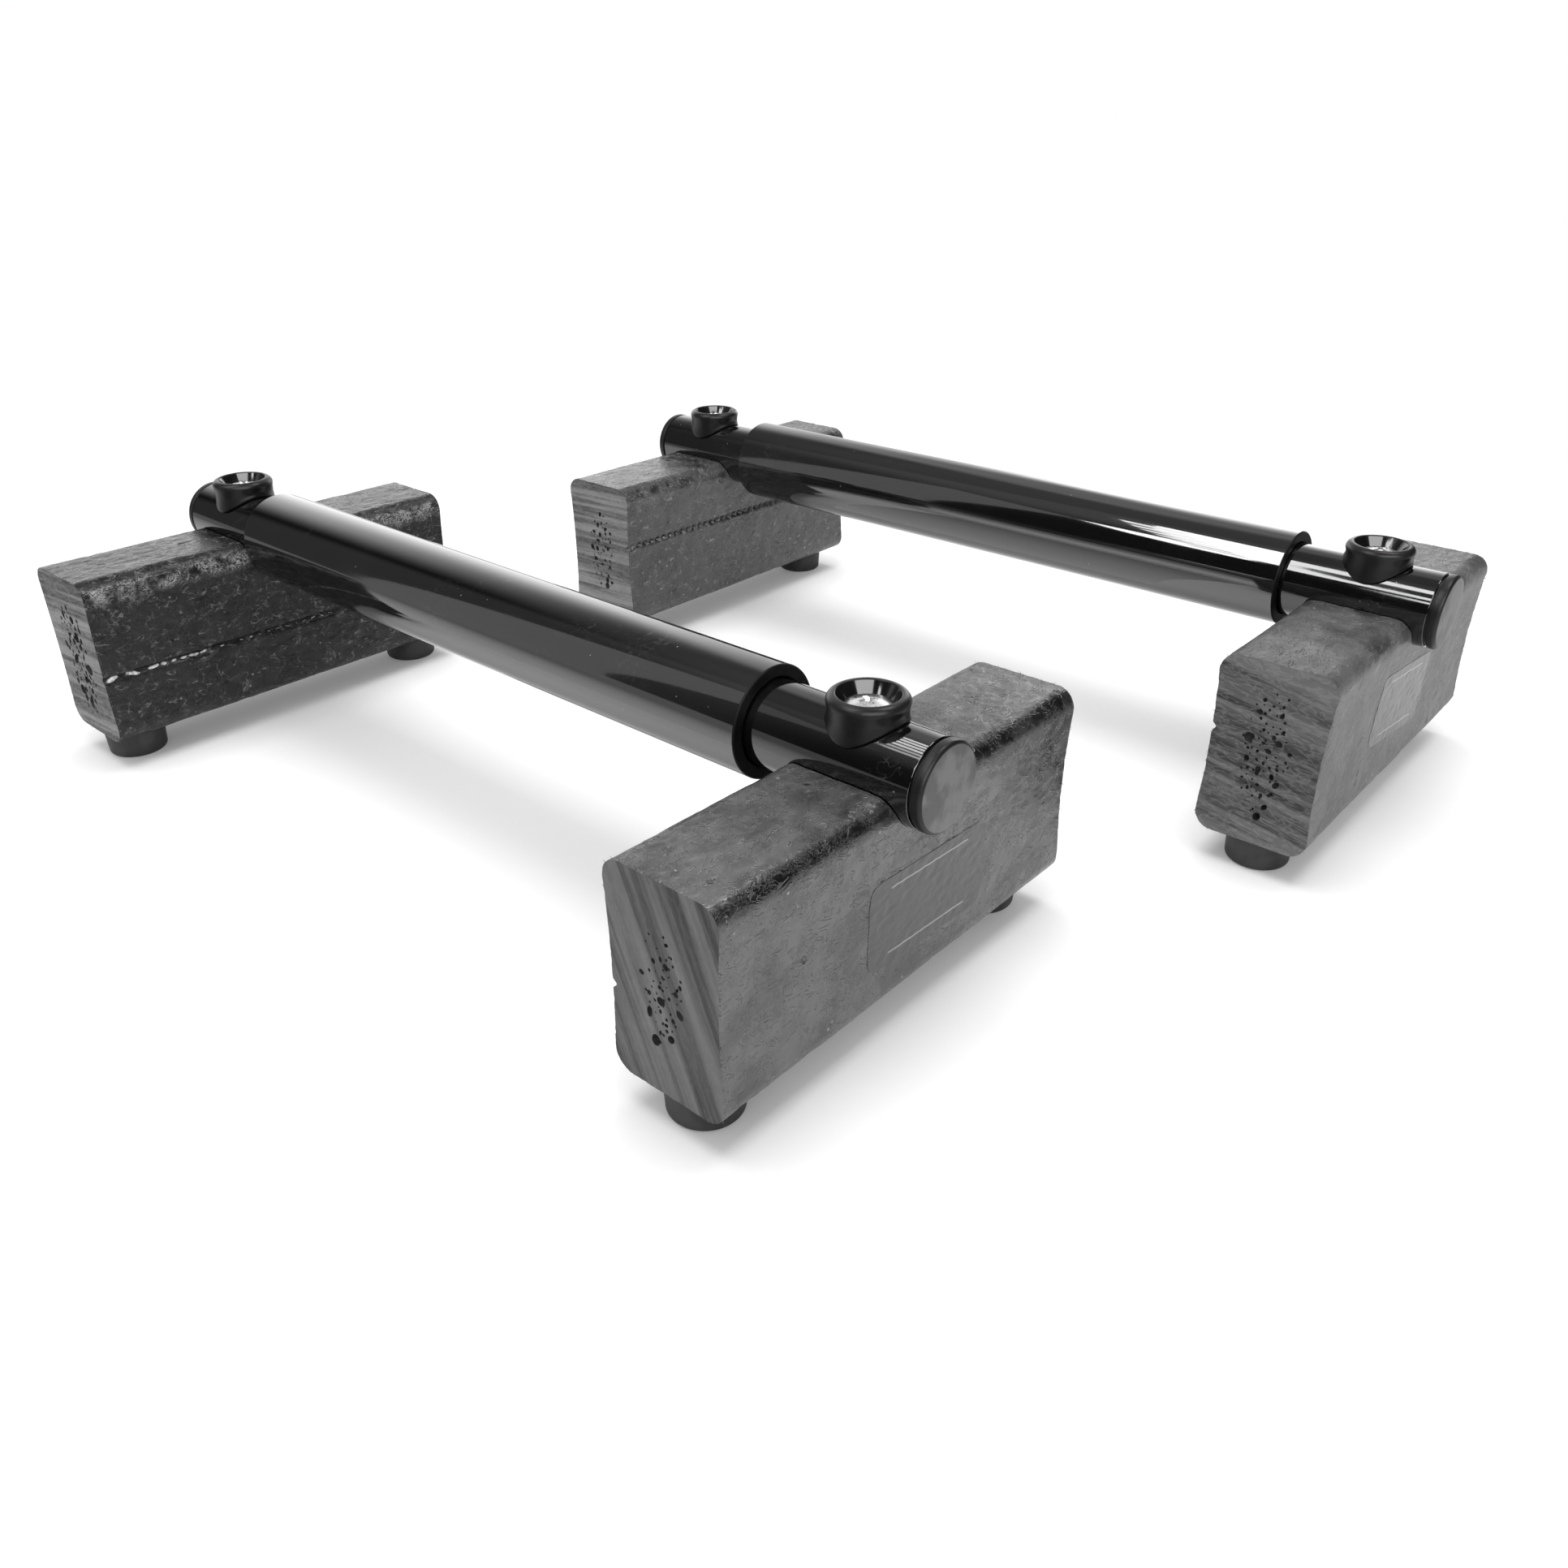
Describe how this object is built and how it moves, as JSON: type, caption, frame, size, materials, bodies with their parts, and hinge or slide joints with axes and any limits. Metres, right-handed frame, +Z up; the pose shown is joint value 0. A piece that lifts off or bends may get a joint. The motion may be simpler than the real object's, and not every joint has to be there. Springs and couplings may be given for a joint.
{
  "type": "parallette bars",
  "caption": "Pair of low parallette bars: black tube with a loose spinning grip sleeve, screwed through saddle cups onto rubber-footed plastic-lumber blocks.",
  "frame": {"origin": "on the floor at the centre of the pair's bounding box", "axes": "+X along both bars, +Y from the front bar to the rear bar, +Z up"},
  "size_m": [0.4216, 0.3624, 0.0943],
  "materials": {
    "recycled_lumber": "foamed recycled-plastic lumber, dark grey, wrinkled semi-matte skin, sawn ends with open pores",
    "powder_coated_tube": "gloss black powder coat on steel tube",
    "grip_plastic": "polished black rigid plastic pipe",
    "end_cap_plastic": "moulded dark grey plastic with a fine matte face",
    "cup_plastic": "satin black moulding with a glossy conical recess",
    "zinc_hardware": "bright zinc-plated steel",
    "rubber_foot": "matte black moulded rubber"
  },
  "bodies": {
    "front_stand": {"front_left_block": "recycled_lumber", "front_right_block": "recycled_lumber", "front_tube": "powder_coated_tube", "front_left_cap": "end_cap_plastic", "front_right_cap": "end_cap_plastic", "front_left_cup": "cup_plastic", "front_right_cup": "cup_plastic", "front_left_bar_screw": "zinc_hardware", "front_right_bar_screw": "zinc_hardware", "front_left_near_foot": "rubber_foot", "front_left_far_foot": "rubber_foot", "front_right_near_foot": "rubber_foot", "front_right_far_foot": "rubber_foot", "front_foot_washers": "zinc_hardware", "front_foot_screws": "zinc_hardware"},
    "front_sleeve": {"front_grip": "grip_plastic"},
    "rear_stand": {"rear_left_block": "recycled_lumber", "rear_right_block": "recycled_lumber", "rear_tube": "powder_coated_tube", "rear_left_cap": "end_cap_plastic", "rear_right_cap": "end_cap_plastic", "rear_left_cup": "cup_plastic", "rear_right_cup": "cup_plastic", "rear_left_bar_screw": "zinc_hardware", "rear_right_bar_screw": "zinc_hardware", "rear_left_near_foot": "rubber_foot", "rear_left_far_foot": "rubber_foot", "rear_right_near_foot": "rubber_foot", "rear_right_far_foot": "rubber_foot", "rear_foot_washers": "zinc_hardware", "rear_foot_screws": "zinc_hardware"},
    "rear_sleeve": {"rear_grip": "grip_plastic"}
  },
  "joints": [
    {"name": "front_grip_spin", "type": "hinge", "parent": "front_stand", "child": "front_sleeve", "pos_m": [-0.0285, -0.105, 0.0756], "axis": [1, 0, 0], "continuous": true},
    {"name": "rear_stand_spacing", "type": "slide", "parent": "front_stand", "child": "rear_stand", "axis": [0, 1, 0], "range_m": [-0.05, 0.2]},
    {"name": "rear_grip_spin", "type": "hinge", "parent": "rear_stand", "child": "rear_sleeve", "pos_m": [0.0285, 0.105, 0.0756], "axis": [1, 0, 0], "continuous": true}
  ]
}
